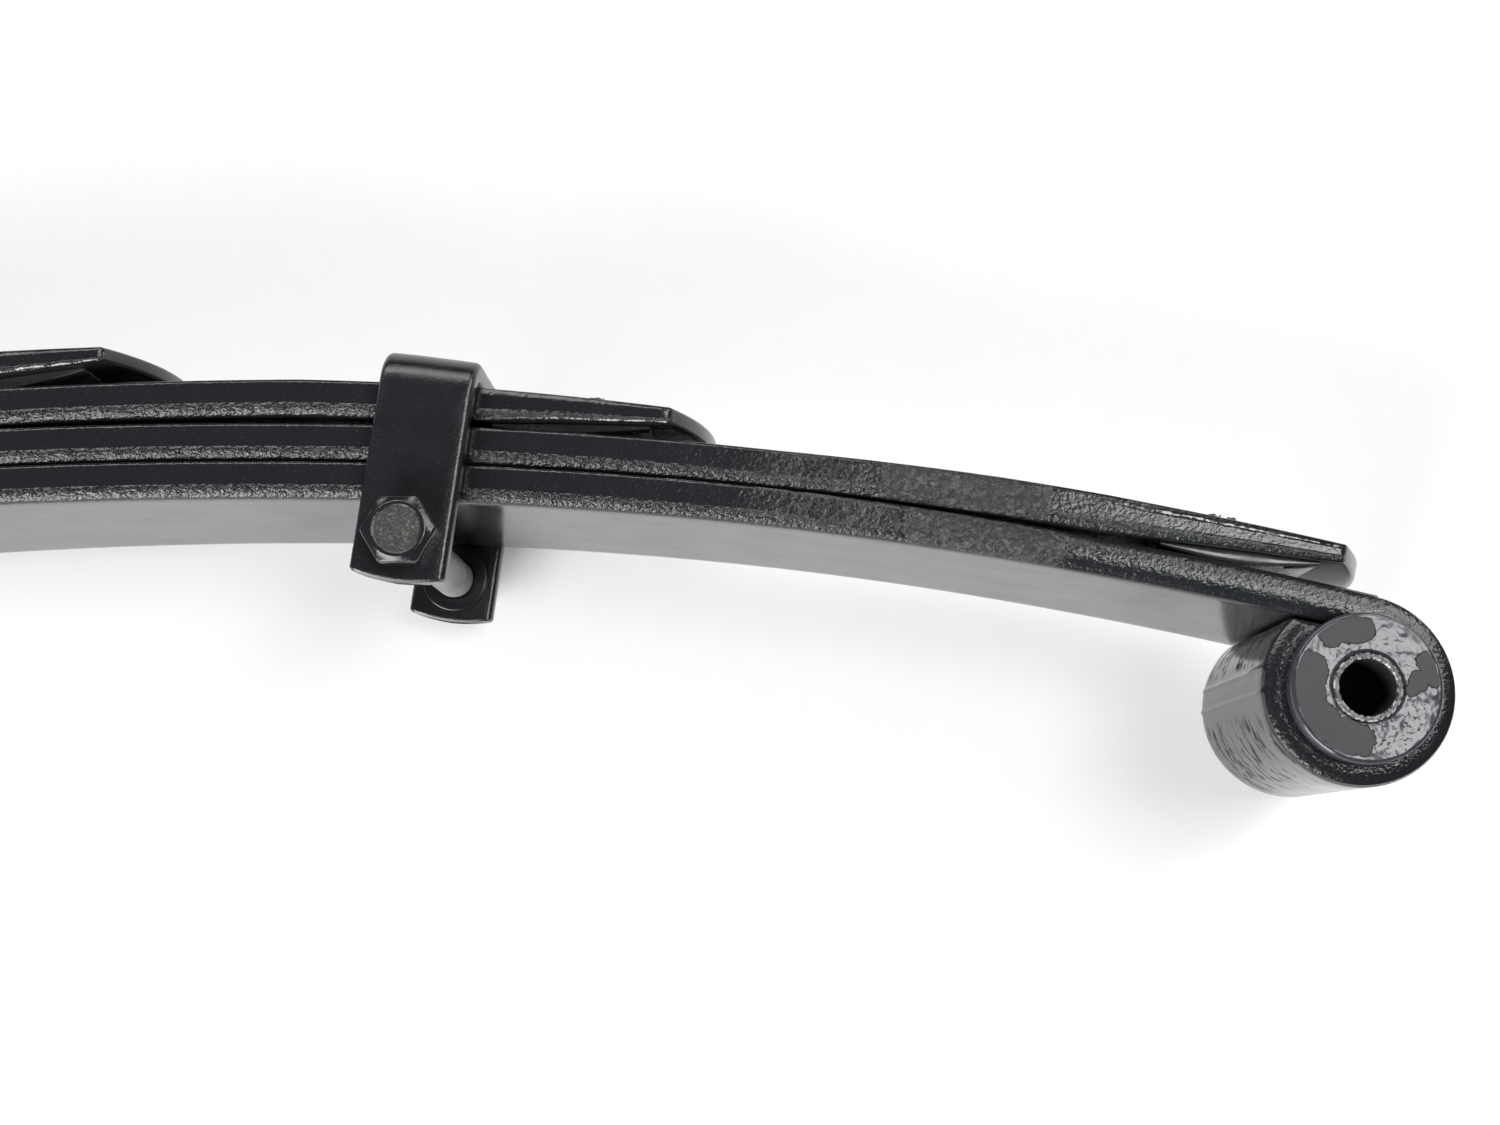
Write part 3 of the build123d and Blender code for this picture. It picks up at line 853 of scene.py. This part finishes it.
def strap_path():
    """Rows along the middle of the strap: (z, up, outward z, outward up, foot share)."""
    z0, rc = STRAP_IN + STRAP_T / 2, STRAP_BEND - STRAP_T / 2
    top = BASE_LIFT + STRAP_T / 2
    foot, spring = -STRAP_FOOT, top - rc
    half = []
    for i in range(31):
        part = i / 30
        half.append((z0, foot + (spring - foot) * part, 1.0, 0.0, (1 - part) ** 2))
    for i in range(1, 11):
        a = math.pi / 2 * i / 10
        half.append((z0 - rc + rc * math.cos(a), spring + rc * math.sin(a), math.cos(a), math.sin(a), 0.0))
    for i in range(1, 13):
        half.append(((z0 - rc) * (1 - i / 12), top, 0.0, 1.0, 0.0))
    return half + [(-z, v, -nz, nv, share) for z, v, nz, nv, share in half[-2::-1]]


def clip_strap(end_name, side):
    """Strap bent over the leaves; its two feet end in shallow arcs with rounded edges."""
    _, _, _, place = clip_frame(side)
    outline, path = strap_section(), strap_path()
    points = []

    def ring(row, close=0.0, ahead=0.0):
        z, up, nz, nv, share = row
        for across, t in outline:
            rise = STRAP_FOOT_R - math.sqrt(STRAP_FOOT_R ** 2 - across ** 2)
            a = math.copysign(max(abs(across) - close, 0.0), across)
            d = math.copysign(max(abs(t) - close, 0.0), t)
            spot = (across, up, z)
            wear = 0.10 * rough(spot, 6.0, side) + 0.04 * rough(spot, 1.8, side)
            d -= abs(wear) * (1 if t > 0 else -1)
            points.append(place(a, up + share * rise - ahead + d * nv, z + d * nz))

    ring(path[0], close=0.9, ahead=-0.02)
    ring(path[0], close=0.35, ahead=-0.2)
    for z, up, nz, nv, share in path:
        lift = FOOT_EDGE if share == 1.0 else 0.0
        ring((z, up + lift, nz, nv, share))
    ring(path[-1], close=0.35, ahead=-0.2)
    ring(path[-1], close=0.9, ahead=-0.02)
    count = len(outline)
    rows = len(points) // count
    faces = tube_faces(rows, count)
    faces += [tuple(range(count)), tuple((rows - 1) * count + k for k in range(count))]
    return oriented(make_mesh(f"{end_name}_clip_strap_bar", points, faces, CLIP))


HEAD_RING_R = 5.9
DISH_R = 5.2
DISH_DEPTH = 0.55


def clip_bolt(end_name, side):
    """Bolt with a dished hexagon head, a shank between the strap's legs painted light grey as a painted
    reflection, and a thread.
    """
    cx, cy, lean, _ = clip_frame(side)
    end = -(STRAP_OUT + NUT_H + BOLT_END)
    head = STRAP_OUT + HEAD_H
    flat = HEX_AF / 2
    hollow = (0.5, 1.0, 1.6, 2.2, 2.8, 3.4, 4.0, 4.5)
    rows = [(r, head - DISH_DEPTH - 0.10 * math.cos(r), 0.0) for r in hollow]
    rows += [
        (DISH_R - 0.3, head - 0.42, 0.0), (DISH_R, head - 0.15, 0.0), (DISH_R + 0.25, head, 0.0),
        (HEAD_RING_R, head, 0.0), (HEAD_RING_R + 0.25, head - 0.12, 0.0),
        (6.5, head - 0.42, 0.1), (6.9, head - 0.62, 0.5),
        (flat - 0.1, head - 0.80, 0.85), (flat, head - 1.15, 1.0),
        (flat, STRAP_OUT + 0.9, 1.0), (flat - 0.15, STRAP_OUT + 0.1, 1.0), (6.6, STRAP_OUT + 0.02, 0.2),
        (BOLT_R + 0.3, STRAP_OUT + 0.02, 0.0), (BOLT_R, STRAP_OUT - 0.3, 0.0),
        (BOLT_R, STRAP_IN, 0.0), (BOLT_R, STRAP_IN - 1.5, 0.0),
        (BOLT_R, 10.0, 0.0), (BOLT_R, -10.0, 0.0), (BOLT_R, -20.0, 0.0),
        *thread(BOLT_R, -20.5, end + 1.0, way=-1),
        (BOLT_R - 0.3, end + 0.8, 0.0), (BOLT_R - 0.9, end + 0.1, 0.0), (BOLT_R - 1.4, end, 0.0),
    ]
    marks = {
        "dusty": lambda r, a, h: 1.0 - smooth(4.2, 5.6, r) if h > STRAP_OUT + 2 else 0.0,
        # Mask of the shank between the strap's legs, where the painted reflection goes.
        "shank_reflection": lambda r, a, h: 1.0 if abs(h) < STRAP_IN - 1 else 0.0,
    }
    return turned(f"{end_name}_clip_bolt_body", along_z(cx, cy), rows, FASTENER, marks,
                  segments=120, closed=False, turn=(HEAD_TURN - lean) * side, grain=SKIN)


def clip_nut(end_name, side):
    cx, cy, lean, _ = clip_frame(side)
    place = along_z(cx, cy, -STRAP_OUT, -1)
    return turned(f"{end_name}_clip_nut_body", place, nut_profile(NUT_H, BOLT_R + 0.1), FASTENER,
                  {"dusty": lambda r, a, h: 0.15}, turn=(NUT_TURN - lean) * side, grain=SKIN)


WASHER_BORE_R = 4.95
WASHER_R = 8.0
WASHER_T = 1.4


def washer_profile(inner, outer, tall):
    edge = 0.35
    return [
        (inner, edge, 0.0), (inner + edge, 0.0, 0.0), (outer - edge, 0.0, 0.0),
        *corner_rows(outer - edge, edge, edge, -90, steps=3),
        *corner_rows(outer - edge, tall - edge, edge, 0, steps=3),
        (inner + edge, tall, 0.0), (inner, tall - edge, 0.0),
    ]


def clip_washer(end_name, side):
    cx, cy, _, _ = clip_frame(side)
    profile = washer_profile(WASHER_BORE_R, WASHER_R, WASHER_T)
    return turned(f"{end_name}_clip_washer_ring", along_z(cx, cy, -STRAP_IN), profile, FASTENER,
                  {"dusty": lambda r, a, h: 0.0}, grain=SKIN)


RIVET_HEAD_R = 7.0
RIVET_HEAD_H = 3.15
RIVET_R = 4.0
RIVET_END = -13.9


def clip_rivet(end_name, side):
    """Round-headed rivet through the middle of the strap into the third leaf."""
    _, _, _, clip_place = clip_frame(side)
    seat = BASE_LIFT + STRAP_T

    def place(r, a, h):
        return clip_place(r * math.cos(a), seat + h, r * math.sin(a))
    dome = np.linspace(math.pi / 2 - 0.06, 0.12, 12)
    rows = [(RIVET_HEAD_R * math.cos(a), RIVET_HEAD_H * math.sin(a), 0.0) for a in dome]
    rows += [(RIVET_HEAD_R - 0.1, 0.02, 0.0), (RIVET_R + 0.2, 0.02, 0.0), (RIVET_R, -0.3, 0.0)]
    rows += [(RIVET_R, RIVET_END + 0.5, 0.0), (RIVET_R - 0.4, RIVET_END, 0.0)]
    return turned(f"{end_name}_clip_rivet_body", place, rows, CLIP, closed=False, segments=64, grain=0.12)


# ---- eye bushes and sleeves ---------------------------------------------------
BUSH_R = 12.65
BUSH_BORE_R = 7.35
FLANGE_R = 16.1
FLANGE_FACE = 36.9
FLANGE_SEAT = 31.85
SLEEVE_R = 7.3
SLEEVE_BORE_R = 6.1
SLEEVE_HALF = 37.3

# Bare islands in the paint on a flange, as (x, y, radius) about the eye's centre.
BARE_ISLANDS = [
    (-4.8, 12.8, 3.2), (-1.2, 13.2, 3.6), (1.6, 12.2, 3.0),
    (-11.6, 5.6, 4.4), (-13.0, 1.2, 4.2), (-11.4, -5.1, 4.4), (-7.2, -9.2, 4.2), (-4.0, -10.6, 3.2),
    (13.8, 3.1, 2.7), (14.2, -0.3, 2.3), (10.8, -0.6, 2.2), (9.0, -2.2, 1.5),
]
PITTED_AT = (6.0, -12.0)


def eye_centre(side):
    x, y, slope = station(MAIN_END)
    return side * (x - EYE_BORE_R * math.sin(slope)), y - EYE_BORE_R * math.cos(slope)


def paint_film(r, a, h):
    """Share of paint on a flange: low inside the bare islands, high elsewhere."""
    x, y = r * math.cos(a), r * math.sin(a)
    share = 1.0
    for ix, iy, reach in BARE_ISLANDS:
        share = min(share, 0.5 + 0.18 * (math.hypot(x - ix, y - iy) - reach))
    share = max(share, smooth(14.9, 15.4, r))
    return share + 0.06 * rough((x, y, 0.0), 3.2, 1.0)


def pits(r, a, h):
    """Where the paint film on a flange is pitted: below and to one side of the bore."""
    px, py = PITTED_AT
    return 1.0 - smooth(2.5, 9.0, math.hypot(r * math.cos(a) - px, r * math.sin(a) - py))


def half_bush(end_name, side, half_name, up):
    """One half of a split bush: a tube with a crowned flange."""
    cx, cy = eye_centre(side)
    crown = FLANGE_FACE - 0.25
    radii = np.linspace(15.2, 8.0, 30)
    face = [(r, crown + 0.2 * (1 - ((r - 11.0) / 6.0) ** 2), 0.0) for r in radii]
    rows = [
        (BUSH_BORE_R, 0.2, 0.0), (BUSH_R - 0.4, 0.2, 0.0), (BUSH_R, 0.6, 0.0),
        (BUSH_R, FLANGE_SEAT - 0.2, 0.0),
        (BUSH_R + 0.3, FLANGE_SEAT, 0.0), (FLANGE_R - 0.8, FLANGE_SEAT, 0.0),
        *corner_rows(FLANGE_R - 0.8, FLANGE_SEAT + 0.8, 0.8, -90),
        (FLANGE_R, FLANGE_SEAT + 2.2, 0.0),
        *corner_rows(FLANGE_R - 0.9, FLANGE_FACE - 1.1, 0.9, 0, steps=6),
        *face, (BUSH_BORE_R + 0.1, crown - 0.1, 0.0), (BUSH_BORE_R, crown - 0.6, 0.0),
    ]
    rules = {"film": paint_film, "pitted": pits}
    return turned(f"{end_name}_bush_{half_name}_rubber", along_z(cx, cy, 0.0, up), rows, BUSH, rules,
                  segments=200, grain=0.10)


def eye_sleeve(end_name, side):
    """Steel tube in the bush, with worn lips at both ends."""
    cx, cy = eye_centre(side)
    edge = 0.25
    lip, neck = SLEEVE_HALF - edge, SLEEVE_HALF - 1.5
    half = [(SLEEVE_BORE_R, 0.0), (SLEEVE_BORE_R, neck), (SLEEVE_BORE_R, lip)]
    half += [(r, SLEEVE_HALF) for r in np.linspace(SLEEVE_BORE_R + edge, SLEEVE_R - edge, 5)]
    half += [(SLEEVE_R, lip), (SLEEVE_R, neck), (SLEEVE_R, 0.0)]
    rows = [(r, h, 0.0) for r, h in half] + [(r, -h, 0.0) for r, h in half[-2:0:-1]]
    middle = (SLEEVE_R + SLEEVE_BORE_R) / 2

    def bare(r, a, h):
        at_lip = smooth(0.15, 0.5, abs(r - middle))
        return smooth(SLEEVE_HALF - 0.7, SLEEVE_HALF - 0.2, abs(h)) * (0.15 + 0.85 * at_lip)

    # Mask of the bore, which gets painted shade.
    def inside(r, a, h):
        return 1.0 if r < middle and abs(h) < SLEEVE_HALF - 1.0 else 0.0
    rules = {"bare": bare, "inside": inside}
    return turned(f"{end_name}_eye_sleeve_tube", along_z(cx, cy), rows, SLEEVE, rules,
                  segments=120, grain=0.04)


# ---- tip liners ---------------------------------------------------------------
def half_button(points, faces, place, low, top, way):
    """One half of a split button: a D-shaped post with a barbed, torn head."""
    levels = [(low, 4.2), (top + 0.5, 4.2), (top + 0.7, 5.1)]
    levels += [(top + 2.2, 4.9), (top + 4.5, 4.3), (top + 6.6, 3.8)]
    outline = np.linspace(-1.36, 1.36, 15)
    first = len(points)
    for level, (h, r) in enumerate(levels):
        for a in outline:
            torn = 0.0
            if level >= len(levels) - 2:
                torn = 1.0 * rough((3 * a, h * way, low), 1.0, way)
            points.append(place(way * r * math.cos(a), h + torn, r * math.sin(a)))
        for part in (0.66, 0.33):
            points.append(place(way * 0.95, h, r * (2 * part - 1) * 0.8))
    count = len(outline) + 2
    rings = [tuple(first + i * count + k for k in range(count)) for i in range(len(levels))]
    for one, two in zip(rings, rings[1:]):
        faces += [(one[k], one[(k + 1) % count], two[(k + 1) % count], two[k]) for k in range(count)]
    faces += [rings[0], rings[-1]]


LINER_EDGE = 0.35
LINER_ROWS = 33
LINER_COLUMNS = 15
LINER_SIDE = 7


def tip_liner(name, end_name, side):
    """Lens-shaped pad under the tip of a leaf, with a split button through the leaf."""
    leaf = LEAVES[name]
    middle = leaf["tip"] - LINER_BACK
    below = BELOW[name]
    floor_n = (leaf_heights(below, middle)[1] if below else THICK) + 0.5
    flat = LINER_W / 2 - LINER_EDGE
    points = []
    outline_z = list(np.linspace(-flat, flat, LINER_COLUMNS))
    turns = np.linspace(0.5, 2.64, LINER_SIDE)
    for t in np.linspace(-1, 1, LINER_ROWS):
        s = middle + LINER_HALF * t
        top = leaf_heights(name, s)[0] - 0.1
        ends = top - 0.7
        sag = (leaf_heights(name, middle)[0] - 0.8 - floor_n) * (1 - t * t)
        low = ends - sag
        mid = (top + low) / 2
        reach = (top - low) / 2
        rim = [(flat + LINER_EDGE * math.sin(a), mid + reach * math.cos(a)) for a in turns]
        ring = [(z, top) for z in outline_z] + rim
        ring += [(z, low) for z in reversed(outline_z)]
        ring += [(-z, n) for z, n in reversed(rim)]
        points += [point(s, n + 0.05 * rough((s, z, n), 3.0), z, side) for z, n in ring]
    count = 2 * (LINER_COLUMNS + LINER_SIDE)
    faces = tube_faces(LINER_ROWS, count)
    faces += [tuple(range(count)), tuple((LINER_ROWS - 1) * count + k for k in range(count))]
    low, top = leaf_heights(name, middle)
    x, y, slope = station(middle)

    def button_place(across, n, z):
        px = x + across * math.cos(slope) + n * math.sin(slope)
        return side * px, y - across * math.sin(slope) + n * math.cos(slope), z
    for way in (-1, 1):
        half_button(points, faces, button_place, low - 1.2, top, way)
    return oriented(make_mesh(f"{name}_leaf_{end_name}_liner_pad", points, faces, LINER))


# ---- centre bolt --------------------------------------------------------------
DOWEL_R = 8.0
DOWEL_TOP = 9.0
DOWEL_ROUND = 1.1
CENTRE_END = 4.0


def centre_bolt():
    """Bolt through the stack, whose round head stands out of the seat as the dowel."""
    rows = [(r, DOWEL_TOP, 0.0) for r in (1.5, 3.5, 5.5, 6.6)]
    rows += corner_rows(DOWEL_R - DOWEL_ROUND, DOWEL_TOP - DOWEL_ROUND, DOWEL_ROUND, 90, -90)
    rows += [(DOWEL_R, 4.0, 0.0), (DOWEL_R, 0.05, 0.0), (BOLT_R, 0.05, 0.0), (BOLT_R, -STACK + 2, 0.0)]
    end = -STACK - NUT_H - CENTRE_END
    rows += thread(BOLT_R, -STACK + 1.5, end + 1.0, way=-1)
    rows += [(BOLT_R - 0.4, end + 0.6, 0.0), (BOLT_R - 1.1, end, 0.0)]
    return turned("centre_bolt_body", along_y(0.0, 0.0), rows, FASTENER, {"dusty": lambda r, a, h: 0.2},
                  closed=False, grain=SKIN)


def centre_nut():
    place = along_y(0.0, -STACK, -1)
    return turned("centre_nut_body", place, nut_profile(NUT_H, BOLT_R + 0.1), FASTENER,
                  {"dusty": lambda r, a, h: 0.2}, grain=SKIN)


def settle(piece, node, body):
    """Stands a finished piece in for its CAD node and sets what it moves with."""
    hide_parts(node)
    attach(piece, body)


settle(centre_bolt(), "centre_bolt", "root")
settle(centre_nut(), "centre_nut", "root")
for end_name, side in (("front", 1), ("rear", -1)):
    arm, tip_body = f"{end_name}_arm", f"{end_name}_tip"
    settle(clip_strap(end_name, side), f"{end_name}_clip_strap", arm)
    settle(clip_rivet(end_name, side), f"{end_name}_clip_rivet", arm)
    settle(clip_bolt(end_name, side), f"{end_name}_clip_bolt", arm)
    settle(clip_nut(end_name, side), f"{end_name}_clip_nut", arm)
    settle(clip_washer(end_name, side), f"{end_name}_clip_washer", arm)
    for half_name, up in (("upper", 1), ("lower", -1)):
        bush = half_bush(end_name, side, half_name, up)
        settle(bush, f"{end_name}_bush_{half_name}", tip_body)
    settle(eye_sleeve(end_name, side), f"{end_name}_eye_sleeve", f"{end_name}_sleeve")
    for name in LEAVES:
        carrier = tip_body if name == "second" else arm
        settle(tip_liner(name, end_name, side), f"{name}_leaf_{end_name}_liner", carrier)


# ---- stage, light and camera (metres and watts) -------------------------------
FLOOR_HALF = 6.0

# Soft lights as (name, place, aim, size, power).
LIGHTS = [
    ("window_left", (-1.1, -1.5, 0.95), (0.3, 0.0, 0.0), (1.6, 1.8), 100),
    ("overhead_right", (0.95, -0.08, 1.45), (0.45, -0.12, 0.0), (0.50, 0.50), 9.5),
    ("side_right", (1.6, 0.6, 1.2), (0.4, -0.05, 0.0), (1.0, 1.0), 18),
    ("back_panel", (0.1, 1.6, 1.4), (0.3, 0.0, 0.0), (2.0, 0.8), 27),
]

# The surroundings' strength against height and against the way towards the back.
SKY_BY_HEIGHT = (0.10, 0.60, 1.0, 0.45)
SKY_BY_DEPTH = (-0.1, 0.6, 0.80, 0.25)

CAMERA_PLACE = (0.3655, -0.1531, 0.4505)
CAMERA_ANGLES = (8.718, 0.898, -10.376)
CAMERA_LENS = 47.0
CAMERA_SENSOR = 36.0


def make_floor():
    low = cad_box[0][2]
    half = FLOOR_HALF
    mesh = bpy.data.meshes.new("floor")
    corners = [(-half, -half, low), (half, -half, low), (half, half, low), (-half, half, low)]
    mesh.from_pydata(corners, [], [(0, 1, 2, 3)])
    mesh.materials.append(floor_paper())
    floor = bpy.data.objects.new("floor", mesh)
    bpy.context.scene.collection.objects.link(floor)
    floor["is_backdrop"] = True


def soft_light(name, place, aim, size, power):
    light = bpy.data.lights.new(name, "AREA")
    light.shape = "RECTANGLE"
    light.size, light.size_y = size
    light.energy = power
    lamp = bpy.data.objects.new(name, light)
    lamp.location = place
    lamp.rotation_euler = (Vector(aim) - Vector(place)).to_track_quat("-Z", "Y").to_euler()
    lamp.visible_camera = False
    bpy.context.scene.collection.objects.link(lamp)


def make_world():
    """Soft surroundings: pale near the horizon towards the window, darker behind and overhead.

    Seen directly, past the edge of the floor, they are a plain grey like the far floor.
    """
    world = bpy.data.worlds.new("studio")
    world.use_nodes = True
    tree = world.node_tree
    place = tree.nodes.new("ShaderNodeTexCoord")
    split = tree.nodes.new("ShaderNodeSeparateXYZ")
    tree.links.new(place.outputs["Generated"], split.inputs[0])

    def ramp(source, low, high, to_low, to_high):
        node = tree.nodes.new("ShaderNodeMapRange")
        node.interpolation_type = "SMOOTHSTEP"
        for key, number in zip(RANGE_INPUTS, (low, high, to_low, to_high)):
            node.inputs[key].default_value = number
        tree.links.new(source, node.inputs["Value"])
        return node.outputs["Result"]
    glow = ramp(split.outputs["Z"], *SKY_BY_HEIGHT)
    behind = ramp(split.outputs["Y"], *SKY_BY_DEPTH)
    product = tree.nodes.new("ShaderNodeMath")
    product.operation = "MULTIPLY"
    tree.links.new(glow, product.inputs[0])
    tree.links.new(behind, product.inputs[1])
    surroundings = tree.nodes["Background"]
    tree.links.new(product.outputs["Value"], surroundings.inputs["Strength"])
    plain = tree.nodes.new("ShaderNodeBackground")
    plain.inputs["Color"].default_value = (*[FAR_GREY] * 3, 1.0)
    choice = tree.nodes.new("ShaderNodeMixShader")
    tree.links.new(tree.nodes.new("ShaderNodeLightPath").outputs["Is Camera Ray"], choice.inputs[0])
    tree.links.new(surroundings.outputs[0], choice.inputs[1])
    tree.links.new(plain.outputs[0], choice.inputs[2])
    tree.links.new(choice.outputs[0], tree.nodes["World Output"].inputs["Surface"])
    bpy.context.scene.world = world


def make_camera():
    camera = bpy.data.objects.new("camera", bpy.data.cameras.new("camera"))
    camera.data.lens = CAMERA_LENS
    camera.data.sensor_width = CAMERA_SENSOR
    camera.data.clip_start = 0.01
    camera.location = CAMERA_PLACE
    camera.rotation_euler = [math.radians(a) for a in CAMERA_ANGLES]
    bpy.context.scene.collection.objects.link(camera)
    bpy.context.scene.camera = camera


make_floor()
make_world()
for name, place, aim, size, power in LIGHTS:
    soft_light(name, place, aim, size, power)
make_camera()
bpy.context.scene.view_settings.view_transform = "Standard"

boxes = {"cad": cad_box, "visual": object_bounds()}
{key: [list(corner) for corner in box] for key, box in boxes.items()}
